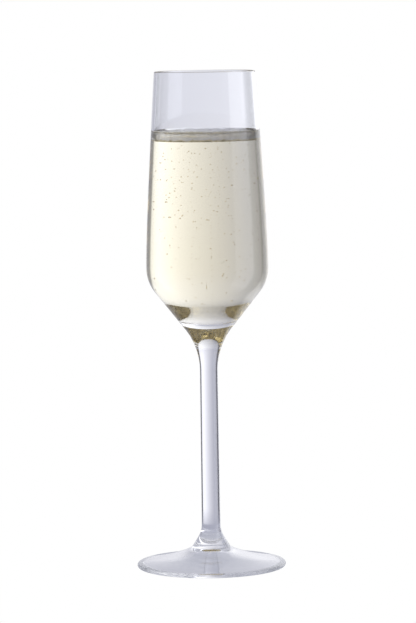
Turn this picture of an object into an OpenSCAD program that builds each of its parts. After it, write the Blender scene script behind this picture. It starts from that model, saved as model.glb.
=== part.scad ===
// Champagne flute of clear glass, made the stuck-stem way: a blown bowl, a drawn
// stem and a pressed foot, fused end to end. It holds sparkling wine under a head
// of foam. Every piece is turned about the Z axis, and Z = 0 is the table.

/* [Overall] */
// Height from the table to the lip
overall_h = 230; // [190:1:280]

/* [Bowl] */
// Height of the bowl from its seam with the stem to the lip
bowl_h = 127.5; // [100:0.5:160]
// Outer diameter at the lip
rim_d = 46.6; // [38:0.2:57]
// Outer diameter at the widest place
belly_d = 56.4; // [46:0.2:68]
// Length of side over which the bowl swells from upright to its taper
belly_rise = 16; // [5:1:25]
// Slope of the cone under the bowl, from the horizontal
cone_angle = 51.8; // [45:0.2:58]
// Outer radius of the shoulder between the side and the cone
shoulder_r = 18; // [10:0.5:26]
// Radius of the sweep from the stem into the cone
head_r = 31; // [20:1:44]
// Wall thickness at the lip
lip_wall = 1.1; // [0.8:0.1:1.6]
// Wall thickness at the widest place
belly_wall = 1.4; // [1:0.1:2.2]
// Wall thickness in the cone
cone_wall = 3.4; // [2:0.1:5]
// Solid glass between the seam and the inside of the bowl
base_thick = 12; // [9:0.5:18]
// Inner radius where the cone rounds into the floor of the bowl
floor_r = 20; // [8:0.5:26]

/* [Stem] */
// Diameter at the top, under the head
stem_top_d = 8.2; // [6.5:0.1:10]
// Diameter at the bottom, above the foot
stem_low_d = 8.7; // [6.8:0.1:10.6]

/* [Foot] */
// Overall diameter
foot_d = 69; // [56:0.5:84]
// Height from the table to the seam with the stem
foot_h = 16.2; // [13:0.2:20]
// Diameter of the boss where it meets the top of the disc
boss_d = 17.8; // [15:0.2:22]
// Height at which the boss meets the top of the disc
boss_z = 9.2; // [7.5:0.1:11]
// Slope of the boss, from the horizontal
boss_angle = 58; // [50:1:66]
// Radius of the sweep from the boss into the stem
boss_r = 11.4; // [6:0.2:16]
// Thickness of the rounded edge
edge_h = 2.1; // [1.6:0.1:3.2]
// Width of the flat ring that stands on the table
ring_w = 1.8; // [1:0.1:4]
// Height of the hollow under the middle
hollow_h = 7.8; // [6:0.1:8.4]
// Thickness of the disc between the boss and the edge
disc_wall = 2.4; // [2:0.1:3.4]

/* [Contents] */
// Depth from the lip to the surface of the wine
wine_drop = 31.8; // [15:0.2:60]
// Thickness of the foam where it clings to the wall
foam_h = 4.8; // [2:0.2:8]
// How far the foam sinks towards the middle
foam_dip = 1.4; // [0:0.1:1.8]

/* [Hidden] */

arc_steps = 24;            // chords in a round
side_steps = 40;           // chords in a long curve
facets = 128;              // sides of a turned piece when OpenSCAD draws it
most_of = 0.92;            // share of a straight that one round may use
upright = 1;               // upright stretch of side between the shoulder and the swell
disc_reach = 0.26;         // how far out the disc keeps its steep slope, as a share
disc_sag = 0.4;            // how far the top of the disc dips under a straight cone
foam_curl = 0.72;          // how far out the dip in the foam reaches, as a share

rim_r = rim_d / 2;
belly_r = belly_d / 2;
edge_r = edge_h / 2;
foot_r = foot_d / 2;
ring_r = foot_r - edge_r;
seam_z = overall_h - bowl_h;
cone_top_z = seam_z + (belly_r - stem_top_d / 2) * tan(cone_angle);
belly_z = cone_top_z + shoulder_r * tan((90 - cone_angle) / 2) + upright;
floor_z = seam_z + base_thick;
lip_z = overall_h - lip_wall / 2;
wine_z = overall_h - wine_drop;
foam_z = wine_z + foam_h;

// ---- Curves, as lists of [radius, height] ----

function unit(v) = v / norm(v);

// Points of the arc about centre from point a to point b, the short way round
function arc(centre, a, b, steps = arc_steps) =
    let (
        start = atan2(a.y - centre.y, a.x - centre.x),
        turn = atan2(b.y - centre.y, b.x - centre.x) - start,
        sweep = turn - 360 * round(turn / 360),
        r = norm(a - centre)
    )
    [for (i = [0:steps])
        centre + r * [cos(start + sweep * i / steps), sin(start + sweep * i / steps)]];

// Points of the round of radius r that takes off corner b between a and c,
// made smaller where a straight beside it is too short
function round_off(a, b, c, r) =
    let (
        to_a = unit(a - b),
        to_c = unit(c - b),
        half = acos(to_a * to_c) / 2,
        room = most_of * min(norm(a - b), norm(c - b)),
        reach = min(r / tan(half), room),
        centre = b + unit(to_a + to_c) * reach / cos(half)
    )
    arc(centre, b + to_a * reach, b + to_c * reach);

// Points of the curve that leaves a towards b and arrives at c from b
function bend(a, b, c, steps = side_steps) =
    [for (i = [0:steps])
        let (t = i / steps) (1 - t) ^ 2 * a + 2 * t * (1 - t) * b + t ^ 2 * c];

// Radius at height z of a path whose points climb
function radius_at(path, z) = lookup(z, [for (p = path) [p.y, p.x]]);

// The part of a climbing path between two heights, cut exactly at both
function between(path, low, high) = concat(
    [[radius_at(path, low), low]],
    [for (p = path) if (p.y > low && p.y < high) p],
    [[radius_at(path, high), high]]
);

function reversed(path) = [for (i = [len(path) - 1:-1:0]) path[i]];

// ---- Outside of the glass, from the edge of the foot up to the lip ----

edge_top = [ring_r, edge_h];
boss_foot = [boss_d / 2, boss_z];
boss_top = [stem_low_d / 2, boss_z + (boss_foot.x - stem_low_d / 2) * tan(boss_angle)];
cone_foot = [stem_top_d / 2, seam_z];
shoulder = [belly_r, cone_top_z];
belly = [belly_r, belly_z];

// The top of the disc falls steeply from the boss and runs out nearly level
disc_handle = [boss_foot.x + disc_reach * (ring_r - boss_foot.x),
               (boss_z + edge_h) / 2 - disc_sag];

outside = concat(
    reversed(bend(boss_foot, disc_handle, edge_top)),
    round_off(boss_foot, boss_top, cone_foot, boss_r),
    round_off(boss_top, cone_foot, shoulder, head_r),
    round_off(cone_foot, shoulder, belly, shoulder_r),
    bend(belly, belly + [0, belly_rise], [rim_r, lip_z])
);

// ---- Underside of the foot: it follows the top of the disc, with a dome in the middle ----

hollow_crown = [boss_d / 4, hollow_h];
hollow_waist = disc_handle - [0, disc_wall];
hollow_mid = (hollow_crown + hollow_waist) / 2;

hollow = concat(
    bend([0, hollow_h], hollow_crown, hollow_mid),
    bend(hollow_mid, hollow_waist, [ring_r - ring_w, 0])
);

// ---- Inside of the bowl, from its floor up to the lip ----

cone_gap = cone_wall / sin(cone_angle);
inner_belly_r = belly_r - belly_wall;
floor_corner = [stem_top_d / 2 - cone_gap + (floor_z - seam_z) / tan(cone_angle), floor_z];
inner_shoulder = [inner_belly_r,
                  cone_top_z + (cone_gap - belly_wall) * tan(cone_angle)];
inner_belly = [inner_belly_r, belly_z];

inside = concat(
    round_off([0, floor_z], floor_corner, inner_shoulder, floor_r),
    round_off(floor_corner, inner_shoulder, inner_belly, shoulder_r),
    bend(inner_belly, inner_belly + [0, belly_rise], [rim_r - lip_wall, lip_z])
);

// ---- Pieces ----

module turned(outline) {
    rotate_extrude($fn = facets) polygon(outline);
}

// Blown bowl with a solid cone below and a fire-polished lip
module bowl() {
    lip = arc([rim_r - lip_wall / 2, lip_z], [rim_r, lip_z], [rim_r - lip_wall / 2, overall_h]);
    inner_lip = arc([rim_r - lip_wall / 2, lip_z], [rim_r - lip_wall / 2, overall_h],
                    [rim_r - lip_wall, lip_z]);
    color([0.88, 0.89, 0.94, 0.35])
        turned(concat([[0, seam_z]], between(outside, seam_z, lip_z), lip, inner_lip,
                      reversed(inside), [[0, floor_z]]));
}

// Drawn stem, flared at both ends, with a flat seam at each
module stem() {
    color([0.86, 0.87, 0.93, 0.35])
        turned(concat([[0, foot_h]], between(outside, foot_h, seam_z), [[0, seam_z]]));
}

// Pressed disc with a boss, hollowed below so that only a ring stands on the table
module foot() {
    edge = arc([ring_r, edge_r], [ring_r, 0], [foot_r, edge_r]);
    upper_edge = arc([ring_r, edge_r], [foot_r, edge_r], edge_top);
    color([0.84, 0.86, 0.92, 0.35])
        turned(concat(hollow, edge, upper_edge, between(outside, edge_h, foot_h),
                      [[0, foot_h]]));
}

// Sparkling wine, filling the bowl up to the foam
module wine() {
    color([0.93, 0.88, 0.68, 0.6])
        turned(concat([[0, floor_z]], between(inside, floor_z, wine_z), [[0, wine_z]]));
}

// Head of foam: thickest where it clings to the wall
module foam() {
    wall = between(inside, wine_z, foam_z);
    top_r = radius_at(inside, foam_z);
    top = bend([top_r, foam_z], [top_r * foam_curl, foam_z - foam_dip],
               [0, foam_z - foam_dip]);
    color([0.96, 0.95, 0.9])
        turned(concat([[0, wine_z]], wall, top));
}

bowl();
stem();
foot();
wine();
foam();
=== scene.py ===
import math
import random

import bmesh
import bpy
from bpy.props import (
    FloatProperty, FloatVectorProperty, IntProperty, PointerProperty,
)
from bpy.types import Operator, Panel, PropertyGroup
from mathutils import Matrix, Vector, noise


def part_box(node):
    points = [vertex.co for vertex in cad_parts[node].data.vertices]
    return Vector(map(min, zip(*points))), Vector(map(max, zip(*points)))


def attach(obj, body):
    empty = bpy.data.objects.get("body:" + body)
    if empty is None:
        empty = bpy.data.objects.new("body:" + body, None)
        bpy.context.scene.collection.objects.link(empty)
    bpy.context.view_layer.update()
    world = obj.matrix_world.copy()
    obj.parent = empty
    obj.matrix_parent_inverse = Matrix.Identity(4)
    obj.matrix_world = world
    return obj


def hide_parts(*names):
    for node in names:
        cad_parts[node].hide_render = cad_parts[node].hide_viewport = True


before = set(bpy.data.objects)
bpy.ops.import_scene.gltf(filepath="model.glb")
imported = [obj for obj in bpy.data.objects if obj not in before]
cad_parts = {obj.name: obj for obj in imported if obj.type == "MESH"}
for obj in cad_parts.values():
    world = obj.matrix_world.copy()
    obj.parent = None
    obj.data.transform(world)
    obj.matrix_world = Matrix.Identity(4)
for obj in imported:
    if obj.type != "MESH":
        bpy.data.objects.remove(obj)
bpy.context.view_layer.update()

bl_info = {
    "name": "Champagne flute",
    "version": (1, 0, 0),
    "blender": (4, 5, 0),
    "location": "View3D > Sidebar > Flute",
    "description": "Builds a stemmed flute of clear glass filled with sparkling wine",
    "category": "Add Mesh",
}

BOWL_LOW, BOWL_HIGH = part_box("bowl")
STEM_LOW, STEM_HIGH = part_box("stem")
FOOT_LOW, FOOT_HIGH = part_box("foot")
WINE_LOW, WINE_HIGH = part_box("wine")
FOAM_LOW, FOAM_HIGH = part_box("foam")

MM = 0.001
UPRIGHT = 1 * MM          # upright side between the shoulder and the swell
DISC_REACH = 0.26         # how far out the top of the foot keeps its steep slope
DISC_SAG = 0.4 * MM       # how far the top of the foot dips under a straight cone
FOAM_CURL = 0.72          # how far out the dip in the foam reaches
FROTH_AT_WALL = 0.7       # share of the froth that clings to the wall
SEAM_GAP = 0.01 * MM      # air left at a seam, so that its two faces don't coincide
RING_STEP = 1 * MM        # height of a ring of faces where the glass is plain
FINE_STEP = 0.7 * MM      # the same in the stem and the foot, which bend light more


# ---------------------------------------------------------------- settings

def length(name, description, default):
    """A size in metres that the sidebar shows with its unit."""
    return FloatProperty(name=name, description=description, default=default,
                         min=0.0, precision=5, unit="LENGTH", subtype="DISTANCE")


def turn(name, description, degrees):
    """An angle that the sidebar shows in degrees."""
    return FloatProperty(name=name, description=description,
                         default=math.radians(degrees), unit="ROTATION", subtype="ANGLE")


def tint(name, description, default):
    """A linear RGB colour."""
    return FloatVectorProperty(name=name, description=description, default=default,
                               size=3, min=0.0, max=1.0, subtype="COLOR")


class FluteGlassSettings(PropertyGroup):
    """Sizes and finish of the three glass pieces."""

    rim_d: length("Lip diameter", "Outer diameter at the lip", 46.6 * MM)
    belly_rise: length("Belly rise", "Height over which the side leaves the upright", 16 * MM)
    cone_angle: turn("Cone slope", "Slope of the cone under the bowl", 51.8)
    shoulder_r: length("Shoulder radius", "Round between the side and the cone", 18 * MM)
    head_r: length("Head radius", "Sweep from the stem into the cone", 31 * MM)
    lip_wall: length("Wall at the lip", "Thickness of glass at the lip", 1.1 * MM)
    belly_wall: length("Wall at the belly", "Thickness at the widest place", 1.4 * MM)
    cone_wall: length("Wall in the cone", "Thickness in the cone", 3.4 * MM)
    floor_r: length("Floor radius", "Round between the cone and the floor", 20 * MM)
    stem_top_d: length("Stem diameter, top", "Diameter under the head", 8.2 * MM)
    stem_low_d: length("Stem diameter, bottom", "Diameter above the foot", 8.7 * MM)
    boss_d: length("Boss diameter", "Diameter where the boss meets the disc", 17.8 * MM)
    boss_z: length("Boss height", "Height where the boss meets the disc", 9.2 * MM)
    boss_angle: turn("Boss slope", "Slope of the boss", 58)
    boss_r: length("Boss radius", "Sweep from the boss into the stem", 11.4 * MM)
    edge_h: length("Foot edge", "Thickness of the rounded edge", 2.1 * MM)
    ring_w: length("Foot ring", "Width of the ring that stands on the table", 1.8 * MM)
    hollow_h: length("Foot hollow", "Height of the hollow under the middle", 7.8 * MM)
    disc_wall: length("Disc wall", "Thickness of the disc between boss and edge", 2.4 * MM)
    around: IntProperty(name="Sides", description="Faces around a turned piece",
                        default=192, min=32, max=512)
    colour: tint("Glass colour", "Tint of the glass", (0.955, 0.962, 0.985))
    stem_colour: tint("Stem colour", "Tint of the solid glass of the stem",
                      (0.79, 0.795, 0.855))


class FluteDrinkSettings(PropertyGroup):
    """Wine, foam and gas."""

    film: length("Film", "Gap kept between the drink and the glass", 0.02 * MM)
    wine_colour: tint("Wine colour", "Colour of light that has crossed the wine",
                      (0.97, 0.80, 0.16))
    wine_density: FloatProperty(name="Wine density", description="Absorption per metre",
                                default=8.0, min=0.0)
    seed: IntProperty(name="Seed", description="Start of the random places", default=11)
    gas: IntProperty(name="Loose bubbles", description="Bubbles rising through the wine",
                     default=260, min=0)
    gas_r: length("Bubble radius", "Radius of a usual bubble of gas", 0.21 * MM)
    trains: IntProperty(name="Bubble trains", description="Threads of bubbles from one spot",
                        default=5, min=0)
    froth: IntProperty(name="Froth bubbles", description="Bubbles that show on the foam",
                       default=420, min=0)
    froth_r: length("Froth radius", "Radius of a usual bubble of froth", 0.55 * MM)
    foam_dip: length("Foam dip", "How far the foam sinks towards the middle", 1.4 * MM)
    foam_room: length("Foam room", "Height left for froth on the foam's edge", 0.5 * MM)
    foam_lumps: length("Foam lumps", "Height of the lumps on the foam", 0.45 * MM)


class FluteStageSettings(PropertyGroup):
    """Camera, table and studio light."""

    distance: length("Camera distance", "From the flute's axis to the camera", 1.4981)
    height: length("Camera height", "Of the camera above the table", 0.25876)
    pitch: turn("Camera pitch", "How far the camera looks down", 5.331)
    roll: turn("Camera roll", "Lean of the camera about its line of sight", -0.84)
    lens: FloatProperty(name="Lens", description="Focal length", default=188.0,
                        min=1.0, unit="CAMERA")
    table_r: length("Table radius", "Radius of the pale table", 0.17)
    bounces: IntProperty(name="Bounces", default=96, min=4,
                         description="Turns that light may take inside the glass")


# ---------------------------------------------------------------- outlines
# An outline is a list of points (radius, height), in metres.

def arc(centre, start, end, steps=24):
    """Points of the arc about centre from start to end, the short way round."""
    first = math.atan2(start[1] - centre[1], start[0] - centre[0])
    sweep = math.atan2(end[1] - centre[1], end[0] - centre[0]) - first
    sweep -= 2 * math.pi * round(sweep / (2 * math.pi))
    r = math.dist(start, centre)
    angles = [first + sweep * i / steps for i in range(steps + 1)]
    return [(centre[0] + r * math.cos(a), centre[1] + r * math.sin(a)) for a in angles]


def round_off(a, b, c, radius, steps=24, most_of=0.92):
    """Points of the round that takes off corner b between a and c."""
    a, b, c = Vector(a), Vector(b), Vector(c)
    to_a, to_c = (a - b).normalized(), (c - b).normalized()
    half = math.acos(to_a.dot(to_c)) / 2
    room = most_of * min((a - b).length, (c - b).length)
    reach = min(radius / math.tan(half), room)
    centre = b + (to_a + to_c).normalized() * reach / math.cos(half)
    return arc(centre, b + to_a * reach, b + to_c * reach, steps)


def bend(a, b, c, steps=40):
    """Points of the curve that leaves a towards b and arrives at c from b."""
    a, b, c = Vector(a), Vector(b), Vector(c)
    ts = [i / steps for i in range(steps + 1)]
    return [tuple((1 - t) ** 2 * a + 2 * t * (1 - t) * b + t * t * c) for t in ts]


def radius_at(path, z):
    """Radius at height z of a path whose points climb."""
    for (r0, z0), (r1, z1) in zip(path, path[1:]):
        if z0 <= z <= z1 and z1 > z0:
            return r0 + (r1 - r0) * (z - z0) / (z1 - z0)
    return path[0][0] if z < path[0][1] else path[-1][0]


def between(path, low, high):
    """The part of a climbing path between two heights, cut exactly at both."""
    middle = [p for p in path if low < p[1] < high]
    return [(radius_at(path, low), low), *middle, (radius_at(path, high), high)]


def spaced(path, step):
    """The path with its long chords cut into steps of about that length."""
    points = [path[0]]
    for p, q in zip(path, path[1:]):
        parts = max(1, math.ceil(math.dist(p, q) / step))
        for i in range(1, parts + 1):
            t = i / parts
            points.append((p[0] + (q[0] - p[0]) * t, p[1] + (q[1] - p[1]) * t))
    return points


def belly_height(g):
    """Height at which the side of the bowl starts to swell."""
    cone_top = BOWL_LOW.z + (BOWL_HIGH.x - g.stem_top_d / 2) * math.tan(g.cone_angle)
    return cone_top + g.shoulder_r * math.tan((math.pi / 2 - g.cone_angle) / 2) + UPRIGHT


def disc_handle(g):
    """Corner that bends the top of the disc: steep at the boss, nearly level outside."""
    boss_foot_r, ring_r = g.boss_d / 2, FOOT_HIGH.x - g.edge_h / 2
    return (boss_foot_r + DISC_REACH * (ring_r - boss_foot_r),
            (g.boss_z + g.edge_h) / 2 - DISC_SAG)


def glass_outside(g):
    """Outside of the glass, from the top of the foot's edge up to the lip."""
    belly_r, seam_z = BOWL_HIGH.x, BOWL_LOW.z
    ring_r = FOOT_HIGH.x - g.edge_h / 2
    edge_top = (ring_r, g.edge_h)
    boss_foot = (g.boss_d / 2, g.boss_z)
    boss_top = (g.stem_low_d / 2,
                g.boss_z + (g.boss_d - g.stem_low_d) / 2 * math.tan(g.boss_angle))
    cone_foot = (g.stem_top_d / 2, seam_z)
    shoulder = (belly_r, seam_z + (belly_r - cone_foot[0]) * math.tan(g.cone_angle))
    belly = (belly_r, belly_height(g))
    return [
        *reversed(bend(boss_foot, disc_handle(g), edge_top)),
        *round_off(boss_foot, boss_top, cone_foot, g.boss_r),
        *round_off(boss_top, cone_foot, shoulder, g.head_r, 48),
        *round_off(cone_foot, shoulder, belly, g.shoulder_r, 36),
        *bend(belly, (belly_r, belly[1] + g.belly_rise),
              (g.rim_d / 2, BOWL_HIGH.z - g.lip_wall / 2), 90),
    ]


def foot_hollow(g):
    """Underside of the foot, from the middle of its hollow out to the ring."""
    handle = disc_handle(g)
    crown = (g.boss_d / 4, g.hollow_h)
    waist = (handle[0], handle[1] - g.disc_wall)
    middle = ((crown[0] + waist[0]) / 2, (crown[1] + waist[1]) / 2)
    ring_r = FOOT_HIGH.x - g.edge_h / 2 - g.ring_w
    return [*bend((0, g.hollow_h), crown, middle, 30), *bend(middle, waist, (ring_r, 0))]


def bowl_inside(g):
    """Inside of the bowl, from the middle of its floor up to the lip."""
    seam_z, floor_z = BOWL_LOW.z, WINE_LOW.z
    gap = g.cone_wall / math.sin(g.cone_angle)
    inner_r = BOWL_HIGH.x - g.belly_wall
    slope = math.tan(g.cone_angle)
    floor_corner = (g.stem_top_d / 2 - gap + (floor_z - seam_z) / slope, floor_z)
    cone_top = seam_z + (BOWL_HIGH.x - g.stem_top_d / 2) * slope
    shoulder = (inner_r, cone_top + (gap - g.belly_wall) * slope)
    belly = (inner_r, belly_height(g))
    return [
        *round_off((0, floor_z), floor_corner, shoulder, g.floor_r, 36),
        *round_off(floor_corner, shoulder, belly, g.shoulder_r, 36),
        *bend(belly, (inner_r, belly[1] + g.belly_rise),
              (g.rim_d / 2 - g.lip_wall, BOWL_HIGH.z - g.lip_wall / 2), 90),
    ]


def seam_face(path, z):
    """The flat face of a seam, from the axis out to a path."""
    return [(0, z), (radius_at(path, z), z)]


def foam_top(d, edge):
    """Top of the foam, from its edge in to the middle, where it has sunk."""
    r, high = edge
    low = high - d.foam_dip
    return bend(edge, (r * FOAM_CURL, low), (0, low), 60)


# ---------------------------------------------------------------- meshes

def new_object(name, mesh, body="root"):
    """Links a new object that moves with a body."""
    ob = bpy.data.objects.new(name, mesh)
    bpy.context.scene.collection.objects.link(ob)
    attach(ob, body)
    return ob


def lathe(name, sections, around, materials):
    """Closed mesh turned about Z from sections of (points, index of material)."""
    rings, slots = [], []
    for points, index in sections:
        for p in points:
            if rings and math.dist(rings[-1], p) < 1e-7:
                continue
            if rings:
                slots.append(index)
            rings.append(p)
    verts, starts = [], []
    for r, z in rings:
        starts.append(len(verts))
        if r < 1e-7:
            verts.append((0.0, 0.0, z))
            continue
        for j in range(around):
            a = 2 * math.pi * j / around
            verts.append((r * math.cos(a), r * math.sin(a), z))
    faces, indices = [], []
    for i, index in enumerate(slots):
        low, high = starts[i], starts[i + 1]
        low_pole, high_pole = rings[i][0] < 1e-7, rings[i + 1][0] < 1e-7
        for j in range(around):
            k = (j + 1) % around
            if low_pole:
                faces.append((low, high + k, high + j))
            elif high_pole:
                faces.append((low + j, low + k, high))
            else:
                faces.append((low + j, low + k, high + k, high + j))
            indices.append(index)
    mesh = bpy.data.meshes.new(name)
    mesh.from_pydata(verts, [], faces)
    mesh.polygons.foreach_set("material_index", indices)
    mesh.shade_smooth()
    mesh.set_sharp_from_angle(angle=math.radians(40))
    for material in materials:
        mesh.materials.append(material)
    mesh.update()
    return mesh


def bubble_mesh(name, bubbles, material):
    """One mesh of many closed balls, from a list of (centre, radius)."""
    bm = bmesh.new()
    bmesh.ops.create_icosphere(bm, subdivisions=2, radius=1.0)
    ball = [v.co.copy() for v in bm.verts]
    sides = [[v.index for v in face.verts] for face in bm.faces]
    bm.free()
    verts, faces = [], []
    for centre, radius in bubbles:
        first = len(verts)
        verts += [centre + radius * p for p in ball]
        faces += [[first + i for i in side] for side in sides]
    mesh = bpy.data.meshes.new(name)
    mesh.from_pydata(verts, [], faces)
    mesh.shade_smooth()
    mesh.materials.append(material)
    mesh.update()
    return mesh


def roomy(bubbles, centre, radius, share):
    """True if a new bubble keeps that share of touching distance from all others."""
    return all((centre - c).length > share * (radius + r) for c, r in bubbles)


# ---------------------------------------------------------------- materials

class Nodes:
    """Adds shader nodes to one tree, left to right."""

    def __init__(self, tree):
        self.tree = tree
        self.tree.nodes.clear()

    def add(self, kind, inputs=(), **settings):
        node = self.tree.nodes.new(kind)
        node.location = (220 * len(self.tree.nodes), 0)
        for key, value in settings.items():
            setattr(node, key, value)
        for key, value in dict(inputs).items():
            if isinstance(value, bpy.types.NodeSocket):
                self.tree.links.new(value, node.inputs[key])
            else:
                node.inputs[key].default_value = value
        return node

    def math(self, operation, *values):
        return self.add("ShaderNodeMath", dict(enumerate(values)),
                        operation=operation).outputs[0]


def colour_ramp(n, value, stops, smooth="LINEAR"):
    """A ramp of (position, colour) stops in rising order."""
    node = n.add("ShaderNodeValToRGB", {"Fac": value})
    ramp = node.color_ramp
    ramp.interpolation = smooth
    ends = (ramp.elements[0], stops[0]), (ramp.elements[1], stops[-1])
    for element, (position, colour) in ends:
        element.position = position
        element.color = (*colour, 1.0)
    for position, colour in stops[1:-1]:
        ramp.elements.new(position).color = (*colour, 1.0)
    return node.outputs[0]


def new_material(name):
    """An empty node material and its node adder."""
    material = bpy.data.materials.new(name)
    material.use_nodes = True
    return material, Nodes(material.node_tree)


def glass_ripple(n, strength, marks):
    """Faint waves that drawing and fire-polishing leave, and marks from wiping."""
    place = n.add("ShaderNodeTexCoord").outputs["Object"]
    stretched = n.add("ShaderNodeMapping", {"Vector": place, "Scale": (60, 60, 22)})
    waves = n.add("ShaderNodeTexNoise", {"Vector": stretched.outputs[0], "Scale": 1.0,
                                         "Detail": 2.0, "Roughness": 0.45})
    normal = n.add("ShaderNodeBump", {"Height": waves.outputs["Fac"], "Strength": strength,
                                      "Distance": 0.05 * MM}).outputs[0]
    if not marks:
        return normal
    smears = n.add("ShaderNodeTexNoise", {"Vector": place, "Scale": 480.0, "Detail": 2.0})
    patches = n.add("ShaderNodeTexNoise", {"Vector": place, "Scale": 50.0})
    where = n.add("ShaderNodeMapRange", {"Value": patches.outputs["Fac"], "From Min": 0.52,
                                         "From Max": 0.68}).outputs[0]
    return n.add("ShaderNodeBump", {
        "Height": n.math("MULTIPLY", smears.outputs["Fac"], where), "Strength": marks,
        "Distance": 0.1 * MM, "Normal": normal}).outputs[0]


def glass_material(name, colour, ior, ripple, marks=0.0):
    """Clear glass. A wetted face takes the index of glass against wine."""
    material, n = new_material(name)
    shader = n.add("ShaderNodeBsdfPrincipled", {
        "Base Color": (*colour, 1.0), "Roughness": 0.0, "IOR": ior,
        "Transmission Weight": 1.0, "Normal": glass_ripple(n, ripple, marks)})
    n.add("ShaderNodeOutputMaterial", {"Surface": shader.outputs[0]})
    return material


def worn_material(colour):
    """The ring under the foot, rubbed dull by the table."""
    material, n = new_material("worn_ring")
    place = n.add("ShaderNodeTexCoord").outputs["Object"]
    rubs = n.add("ShaderNodeTexNoise", {"Vector": place, "Scale": 700.0, "Detail": 3.0})
    dull = n.add("ShaderNodeMapRange", {"Value": rubs.outputs["Fac"], "To Min": 0.35,
                                        "To Max": 0.75})
    shader = n.add("ShaderNodeBsdfPrincipled", {
        "Base Color": (0.97 * colour[0], colour[1], 0.96 * colour[2], 1.0),
        "Roughness": dull.outputs[0], "IOR": 1.52, "Transmission Weight": 1.0})
    n.add("ShaderNodeOutputMaterial", {"Surface": shader.outputs[0]})
    return material


def seam_material():
    """Fused seam inside the glass, where light goes straight on."""
    material, n = new_material("fused_seam")
    shader = n.add("ShaderNodeBsdfPrincipled", {
        "Base Color": (1.0, 1.0, 1.0, 1.0), "Roughness": 0.0, "IOR": 1.0,
        "Transmission Weight": 1.0})
    n.add("ShaderNodeOutputMaterial", {"Surface": shader.outputs[0]})
    return material


def wine_material(d):
    """Pale wine: it only tints, because the wetted glass does the bending."""
    material, n = new_material("sparkling_wine")
    shader = n.add("ShaderNodeBsdfPrincipled", {
        "Base Color": (1.0, 1.0, 1.0, 1.0), "Roughness": 0.0, "IOR": 1.0,
        "Transmission Weight": 1.0})
    inside = n.add("ShaderNodeVolumeAbsorption", {
        "Color": (*d.wine_colour, 1.0), "Density": d.wine_density})
    n.add("ShaderNodeOutputMaterial", {"Surface": shader.outputs[0],
                                       "Volume": inside.outputs[0]})
    return material


def foam_material(name, clear):
    """Wet froth of fine bubbles, browner where it meets the wine, with painted shade as a
    dark brown line at its foot and as a grey band along its top.
    """
    material, n = new_material(name)
    place = n.add("ShaderNodeTexCoord").outputs["Object"]
    fine = n.add("ShaderNodeTexVoronoi", {"Vector": place, "Scale": 1500.0})
    coarse = n.add("ShaderNodeTexVoronoi", {"Vector": place, "Scale": 620.0},
                   feature="SMOOTH_F1")
    patches = n.add("ShaderNodeTexNoise", {"Vector": place, "Scale": 260.0, "Detail": 3.0,
                                           "Roughness": 0.6}).outputs["Fac"]
    height = n.add("ShaderNodeSeparateXYZ", {"Vector": place}).outputs["Z"]
    wavy = n.math("MULTIPLY_ADD", patches, 2.6 * MM, -1.3 * MM)
    climb = n.add("ShaderNodeMapRange", {
        "Value": n.math("ADD", height, wavy), "From Min": WINE_HIGH.z,
        "From Max": FOAM_HIGH.z})
    # Colour by height: a painted dark brown shade line where the foam meets the wine, golden
    # froth wetted by the wine, white, then a painted grey shade band along the top edge.
    ramp = colour_ramp(n, climb.outputs[0], [
        (0.0, (0.40, 0.31, 0.12)), (0.05, (0.80, 0.64, 0.29)), (0.14, (0.93, 0.82, 0.52)),
        (0.22, (0.98, 0.97, 0.93)), (0.88, (1.0, 1.0, 1.0)), (1.0, (0.86, 0.86, 0.88))])
    cells = n.add("ShaderNodeMapRange", {"Value": coarse.outputs["Distance"], "From Max": 0.7,
                                         "To Min": 1.0, "To Max": 0.8}).outputs[0]
    tone = n.math("MULTIPLY", cells, n.add("ShaderNodeMapRange", {
        "Value": patches, "From Min": 0.3, "From Max": 0.7, "To Min": 0.8,
        "To Max": 1.0}).outputs[0])
    shaded = n.add("ShaderNodeVectorMath", {0: ramp, "Scale": tone},
                   operation="SCALE")
    bump = n.add("ShaderNodeBump", {"Height": fine.outputs["Distance"], "Strength": 0.5,
                                    "Distance": 0.15 * MM})
    lumps = n.add("ShaderNodeBump", {"Height": coarse.outputs["Distance"], "Strength": 0.5,
                                     "Distance": 0.3 * MM, "Normal": bump.outputs[0]})
    shader = n.add("ShaderNodeBsdfPrincipled", {
        "Base Color": shaded.outputs[0], "Roughness": 0.3, "Normal": lumps.outputs[0],
        "Transmission Weight": clear, "IOR": 1.05})
    n.add("ShaderNodeOutputMaterial", {"Surface": shader.outputs[0]})
    return material


def gas_material(name, colour, ior, roughness):
    """Skin of a bubble: a small bright lens with a dark edge."""
    material, n = new_material(name)
    place = n.add("ShaderNodeTexCoord").outputs["Object"]
    mist = n.add("ShaderNodeTexNoise", {"Vector": place, "Scale": 900.0})
    skin = n.add("ShaderNodeMapRange", {"Value": mist.outputs["Fac"], "To Min": roughness,
                                        "To Max": 2 * roughness})
    shader = n.add("ShaderNodeBsdfPrincipled", {
        "Base Color": (*colour, 1.0), "Roughness": skin.outputs[0], "IOR": ior,
        "Transmission Weight": 1.0})
    n.add("ShaderNodeOutputMaterial", {"Surface": shader.outputs[0]})
    return material


# ---------------------------------------------------------------- pieces

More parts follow.
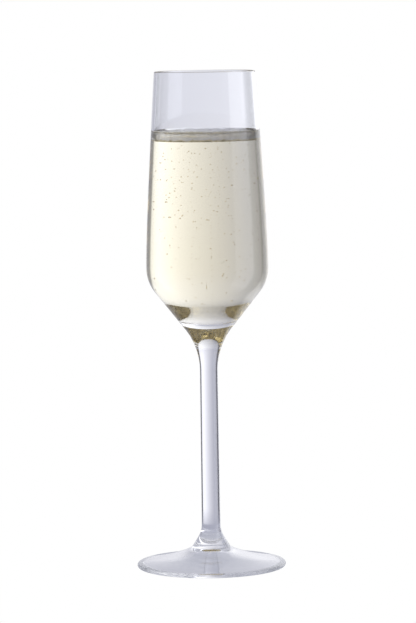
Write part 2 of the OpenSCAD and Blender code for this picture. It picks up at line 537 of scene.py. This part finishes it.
def bowl_mesh(g, fused):
    """Bowl with a fire-polished lip, wetted inside up to the top of the foam."""
    outside, inside = glass_outside(g), bowl_inside(g)
    lip_z, rim_r = BOWL_HIGH.z - g.lip_wall / 2, g.rim_d / 2
    lip_mid = (rim_r - g.lip_wall / 2, lip_z)
    lip_top = (lip_mid[0], BOWL_HIGH.z)
    lip = [*arc(lip_mid, (rim_r, lip_z), lip_top, 12),
           *arc(lip_mid, lip_top, (rim_r - g.lip_wall, lip_z), 12)]
    foam_z = FOAM_HIGH.z
    dry, wet, seam, wiped = range(4)
    return lathe("bowl", [
        (spaced(seam_face(outside, BOWL_LOW.z), RING_STEP), seam),
        (spaced(between(outside, BOWL_LOW.z, lip_z), RING_STEP), dry),
        (lip, dry),
        (spaced(between(inside, foam_z, lip_z), RING_STEP)[::-1], wiped),
        (spaced([(0, WINE_LOW.z), *between(inside, WINE_LOW.z, foam_z)], RING_STEP)[::-1],
         wet),
    ], g.around, [
        glass_material("bowl_glass", g.colour, 1.52, 0.12),
        glass_material("wetted_glass", g.colour, 1.52 / 1.34, 0.12), fused,
        glass_material("wiped_glass", g.colour, 1.52, 0.12, 0.5)])


def stem_mesh(g, fused):
    """Drawn stem, flared at both ends."""
    outside = glass_outside(g)
    low, high = STEM_LOW.z + SEAM_GAP, STEM_HIGH.z - SEAM_GAP
    dry, seam = range(2)
    return lathe("stem", [
        (seam_face(outside, low), seam),
        (spaced(between(outside, low, high), FINE_STEP), dry),
        (seam_face(outside, high)[::-1], seam),
    ], g.around, [glass_material("stem_glass", g.stem_colour, 1.52, 0.15), fused])


def foot_mesh(g, fused):
    """Pressed foot with a hollow underside that stands on a worn ring."""
    outside, hollow = glass_outside(g), foot_hollow(g)
    ring_r, edge_r = FOOT_HIGH.x - g.edge_h / 2, g.edge_h / 2
    mid, tip = (ring_r, edge_r), (FOOT_HIGH.x, edge_r)
    dry, seam, worn = range(3)
    return lathe("foot", [
        (hollow, dry),
        ([hollow[-1], (ring_r, 0)], worn),
        (arc(mid, (ring_r, 0), tip, 12), dry),
        (arc(mid, tip, (ring_r, g.edge_h), 12), dry),
        (spaced(between(outside, g.edge_h, FOOT_HIGH.z), FINE_STEP), dry),
        (spaced(seam_face(outside, FOOT_HIGH.z)[::-1], RING_STEP), seam),
    ], g.around, [glass_material("foot_glass", g.colour, 1.52, 0.3), fused,
                  worn_material(g.colour)])


class FLUTE_OT_glass(Operator):
    """Turn the bowl, the stem and the foot"""

    bl_idname = "flute.glass"
    bl_label = "Glass"

    def execute(self, context):
        g, fused = context.scene.flute_glass, seam_material()
        for name, make in (("bowl", bowl_mesh), ("stem", stem_mesh), ("foot", foot_mesh)):
            piece = new_object(f"{name}_glass", make(g, fused))
            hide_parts(name)
        return {"FINISHED"}


class FLUTE_OT_wine(Operator):
    """Fill the bowl with wine"""

    bl_idname = "flute.wine"
    bl_label = "Wine"

    def execute(self, context):
        g, d = context.scene.flute_glass, context.scene.flute_drink
        wall = between(bowl_inside(g), WINE_LOW.z, WINE_HIGH.z)
        wall = [(max(0.0, r - d.film), z) for r, z in wall]
        low = WINE_LOW.z + d.film
        mesh = lathe("wine", [
            (spaced([(0, low), *[p for p in wall if p[1] > low]], RING_STEP), 0),
            (spaced([wall[-1], (0, wall[-1][1])], 2 * RING_STEP), 0),
        ], g.around, [wine_material(d)])
        piece = new_object("wine_body", mesh)
        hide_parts("wine")
        return {"FINISHED"}


def foam_heights(d):
    """Heights of the foam's underside and of its edge at the wall."""
    return WINE_HIGH.z + d.film, FOAM_HIGH.z - d.foam_room


class FLUTE_OT_foam(Operator):
    """Lay the head of foam on the wine"""

    bl_idname = "flute.foam"
    bl_label = "Foam"

    def execute(self, context):
        g, d = context.scene.flute_glass, context.scene.flute_drink
        low, high = foam_heights(d)
        wall = [(r - 1.5 * d.film, z) for r, z in between(bowl_inside(g), low, high)]
        mesh = lathe("foam", [
            (spaced([(0, low), wall[0]], RING_STEP), 0),
            (spaced(wall, 0.3 * MM), 0),
            (spaced(foam_top(d, wall[-1]), 0.4 * MM), 1),
        ], g.around, [foam_material("foam_side", 0.92), foam_material("foam_top", 0.7)])
        calm = 0.3      # share of the height, from below, that has no lumps
        for v in mesh.vertices:
            share = (v.co.z - low) / (high - low)
            if share > calm:
                lump = noise.noise(v.co * 420) + 0.5 * noise.noise(v.co * 1100)
                v.co.z += (share - calm) * d.foam_lumps * lump
        piece = new_object("foam_head", mesh)
        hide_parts("foam")
        return {"FINISHED"}


def froth_places(g, d):
    """Places and sizes of the larger bubbles, most of them at the wall."""
    inside, rng, froth = bowl_inside(g), random.Random(d.seed + 5), []
    low, high = foam_heights(d)
    for _ in range(d.froth * 30):
        if len(froth) >= d.froth:
            break
        size = d.froth_r * rng.uniform(0.5, 1.25)
        at_wall = rng.random() < FROTH_AT_WALL
        z = high - 0.6 * d.foam_dip
        if at_wall:
            z = rng.uniform(low + 1.6 * MM, high - 0.2 * MM)
        reach = radius_at(inside, z) - size - 0.12 * MM
        if at_wall:
            z, away = min(z, FOAM_HIGH.z - size), reach
        else:
            away = reach * math.sqrt(rng.random())
            fall = d.foam_dip * (1 - (away / reach) ** 3)
            z = high - fall - 0.2 * size
        a = rng.uniform(0, 2 * math.pi)
        centre = Vector((away * math.cos(a), away * math.sin(a), z))
        if roomy(froth, centre, size, 0.8):
            froth.append((centre, size))
    return froth


class FLUTE_OT_froth(Operator):
    """Scatter the larger bubbles over the foam"""

    bl_idname = "flute.froth"
    bl_label = "Froth"

    def execute(self, context):
        froth = froth_places(context.scene.flute_glass, context.scene.flute_drink)
        skin = gas_material("froth_skin", (0.98, 0.98, 0.98), 1.1, 0.08)
        piece = new_object("froth_bubbles", bubble_mesh("froth", froth, skin))
        return {"FINISHED"}


def gas_places(g, d):
    """Places and sizes of the bubbles in the wine, loose ones and threads of them."""
    inside, rng, bubbles = bowl_inside(g), random.Random(d.seed), []
    low, high = WINE_LOW.z + 3 * MM, WINE_HIGH.z - 1 * MM

    def place(r, a, z, size):
        z = min(high - size, z)
        room = radius_at(inside, z) - size - 0.15 * MM
        if z - size < low or room <= 0:
            return
        r = min(r, room)
        centre = Vector((r * math.cos(a), r * math.sin(a), z))
        if roomy(bubbles, centre, size, 1.2):
            bubbles.append((centre, size))

    for _ in range(d.gas):
        z = low + (high - low) * rng.betavariate(2.0, 1.25)
        r = radius_at(inside, z) * math.sqrt(rng.random())
        place(r, rng.uniform(0, 2 * math.pi), z, d.gas_r * rng.uniform(0.6, 1.5))
    for _ in range(d.trains):
        a, r = rng.uniform(0, 2 * math.pi), rng.uniform(1, 14) * MM
        z = low + rng.uniform(0, 40) * MM
        size, step = 0.5 * d.gas_r, 1.6 * MM
        while z < high:
            sway = 1.6 * MM * noise.noise(Vector((a, r * 300, z * 160)))
            place(r + sway, a + 6 * sway, z, size)
            z, step, size = z + step * rng.uniform(0.5, 1.6), step * 1.07, size * 1.02
    return bubbles


class FLUTE_OT_gas(Operator):
    """Let gas rise through the wine"""

    bl_idname = "flute.gas"
    bl_label = "Gas"

    def execute(self, context):
        gas = gas_places(context.scene.flute_glass, context.scene.flute_drink)
        # The tan tint is painted shade that darkens the bubbles into dark orange dots.
        skin = gas_material("gas_skin", (0.80, 0.72, 0.58), 1.34, 0.02)
        piece = new_object("gas_bubbles", bubble_mesh("gas", gas, skin))
        return {"FINISHED"}


# ---------------------------------------------------------------- stage

def light_path_mix(n, seen, lighting):
    """One shader for what the eye sees directly and one for all other light."""
    path = n.add("ShaderNodeLightPath").outputs["Is Camera Ray"]
    return n.add("ShaderNodeMixShader", {0: path, 1: lighting, 2: seen}).outputs[0]


# Brightness of the studio by compass direction: 0 is behind the flute and 90 is
# to its right. Panels are bright, flags are dark.
STUDIO = [
    (-180, (0.60, 0.60, 0.66)),
    (-112, (0.50, 0.50, 0.56)),
    (-92, (0.16, 0.16, 0.19)),
    (-80, (0.90, 0.90, 0.98)),
    (-68, (0.50, 0.50, 0.54)),
    (-58, (0.07, 0.07, 0.08)),
    (-47, (0.07, 0.07, 0.08)),
    (-40, (0.50, 0.50, 0.54)),
    (-24, (0.51, 0.52, 0.59)),
    (-12, (0.63, 0.63, 0.68)),
    (0, (0.82, 0.82, 0.86)),
    (12, (1.06, 1.06, 1.09)),
    (24, (1.32, 1.32, 1.34)),
    (46, (1.45, 1.45, 1.45)),
    (50, (0.07, 0.07, 0.06)),
    (72, (0.10, 0.10, 0.09)),
    (80, (0.30, 0.30, 0.34)),
    (84, (1.90, 1.91, 1.98)),
    (123, (1.90, 1.91, 1.98)),
    (126, (0.60, 0.60, 0.68)),
    (180, (0.60, 0.60, 0.66)),
]
# Share of that brightness by the sine of the height above the horizon
RISE = [(-1.0, 0.85), (-0.3, 0.95), (-0.12, 1.0), (0.16, 1.08), (0.34, 0.98), (0.55, 0.80),
        (0.75, 0.80), (1.0, 0.95)]


def studio_world(scene):
    """White to the eye, and panels and flags by direction for everything else."""
    world = bpy.data.worlds.new("studio")
    world.use_nodes = True
    scene.world = world
    n = Nodes(world.node_tree)
    way = n.add("ShaderNodeTexCoord").outputs["Generated"]
    parts = n.add("ShaderNodeSeparateXYZ", {"Vector": way})
    compass = n.math("ARCTAN2", parts.outputs["X"], parts.outputs["Y"])
    share = n.add("ShaderNodeMapRange", {"Value": compass, "From Min": -math.pi,
                                         "From Max": math.pi})
    brightest = max(max(colour) for _, colour in STUDIO)
    around = colour_ramp(n, share.outputs[0], [
        ((degrees + 180) / 360, [c / brightest for c in colour])
        for degrees, colour in STUDIO], "B_SPLINE")
    upward = n.add("ShaderNodeMapRange", {"Value": parts.outputs["Z"], "From Min": -1.0,
                                          "From Max": 1.0})
    peak = max(level for _, level in RISE)
    rise = colour_ramp(n, upward.outputs[0], [
        ((sine + 1) / 2, [level / peak] * 3) for sine, level in RISE], "B_SPLINE")
    strength = n.math("MULTIPLY", rise, brightest * peak)
    lighting = n.add("ShaderNodeBackground", {"Color": around,
                                              "Strength": strength}).outputs[0]
    seen = n.add("ShaderNodeBackground", {"Color": (1, 1, 1, 1)}).outputs[0]
    n.add("ShaderNodeOutputWorld", {"Surface": light_path_mix(n, seen, lighting)})


def table_material(radius):
    """Pale light table that fades out at its edge."""
    material, n = new_material("table")
    place = n.add("ShaderNodeTexCoord").outputs["Object"]
    reach = n.add("ShaderNodeVectorMath", {0: place}, operation="LENGTH").outputs["Value"]
    fade = n.add("ShaderNodeMapRange", {"Value": reach, "From Min": radius * 0.5,
                                        "From Max": radius}).outputs[0]
    seen = n.add("ShaderNodeEmission", {"Color": (1, 1, 1, 1)}).outputs[0]
    lighting = n.add("ShaderNodeEmission", {"Color": (0.49, 0.50, 0.57, 1)}).outputs[0]
    glow = light_path_mix(n, seen, lighting)
    clear = n.add("ShaderNodeBsdfTransparent").outputs[0]
    shader = n.add("ShaderNodeMixShader", {0: fade, 1: glow, 2: clear}).outputs[0]
    n.add("ShaderNodeOutputMaterial", {"Surface": shader})
    return material


class FLUTE_OT_stage(Operator):
    """Set the camera, the table and the studio light"""

    bl_idname = "flute.stage"
    bl_label = "Stage"

    def execute(self, context):
        scene, s = context.scene, context.scene.flute_stage
        scene.view_settings.view_transform = "Standard"
        scene.cycles.max_bounces = s.bounces
        scene.cycles.transmission_bounces = s.bounces
        scene.cycles.glossy_bounces = s.bounces
        camera = bpy.data.objects.new("camera", bpy.data.cameras.new("camera"))
        camera.data.lens = s.lens
        camera.data.sensor_width = 36.0
        camera.data.clip_start, camera.data.clip_end = 0.05, 20.0
        camera.matrix_world = (
            Matrix.Translation((0.0, -s.distance, s.height))
            @ Matrix.Rotation(math.pi / 2 - s.pitch, 4, "X")
            @ Matrix.Rotation(s.roll, 4, "Z"))
        scene.collection.objects.link(camera)
        scene.camera = camera
        studio_world(scene)
        mesh = bpy.data.meshes.new("table")
        bm = bmesh.new()
        bmesh.ops.create_circle(bm, cap_ends=True, segments=96, radius=s.table_r)
        bm.to_mesh(mesh)
        bm.free()
        mesh.materials.append(table_material(s.table_r))
        table = bpy.data.objects.new("table", mesh)
        table.location.z = -0.05 * MM
        scene.collection.objects.link(table)
        return {"FINISHED"}


class FLUTE_PT_sidebar(Panel):
    """The flute's pieces and their settings"""

    bl_label = "Champagne flute"
    bl_space_type = "VIEW_3D"
    bl_region_type = "UI"
    bl_category = "Flute"

    def draw(self, context):
        for operator in OPERATORS:
            self.layout.operator(operator.bl_idname)
        for group in SETTINGS:
            box = self.layout.box()
            settings = getattr(context.scene, group)
            for name in settings.bl_rna.properties.keys():
                if name not in {"rna_type", "name"}:
                    box.prop(settings, name)


SETTINGS = {
    "flute_glass": FluteGlassSettings,
    "flute_drink": FluteDrinkSettings,
    "flute_stage": FluteStageSettings,
}
OPERATORS = [FLUTE_OT_stage, FLUTE_OT_glass, FLUTE_OT_wine, FLUTE_OT_foam, FLUTE_OT_froth,
             FLUTE_OT_gas]
CLASSES = [*SETTINGS.values(), *OPERATORS, FLUTE_PT_sidebar]


def register():
    for cls in CLASSES:
        bpy.utils.register_class(cls)
    for name, group in SETTINGS.items():
        setattr(bpy.types.Scene, name, PointerProperty(type=group))


def unregister():
    for name in SETTINGS:
        delattr(bpy.types.Scene, name)
    for cls in reversed(CLASSES):
        bpy.utils.unregister_class(cls)


def main():
    register()
    bpy.ops.flute.stage()
    bpy.ops.flute.glass()
    bpy.ops.flute.wine()
    bpy.ops.flute.foam()
    bpy.ops.flute.froth()
    bpy.ops.flute.gas()


if __name__ == "__main__":
    main()
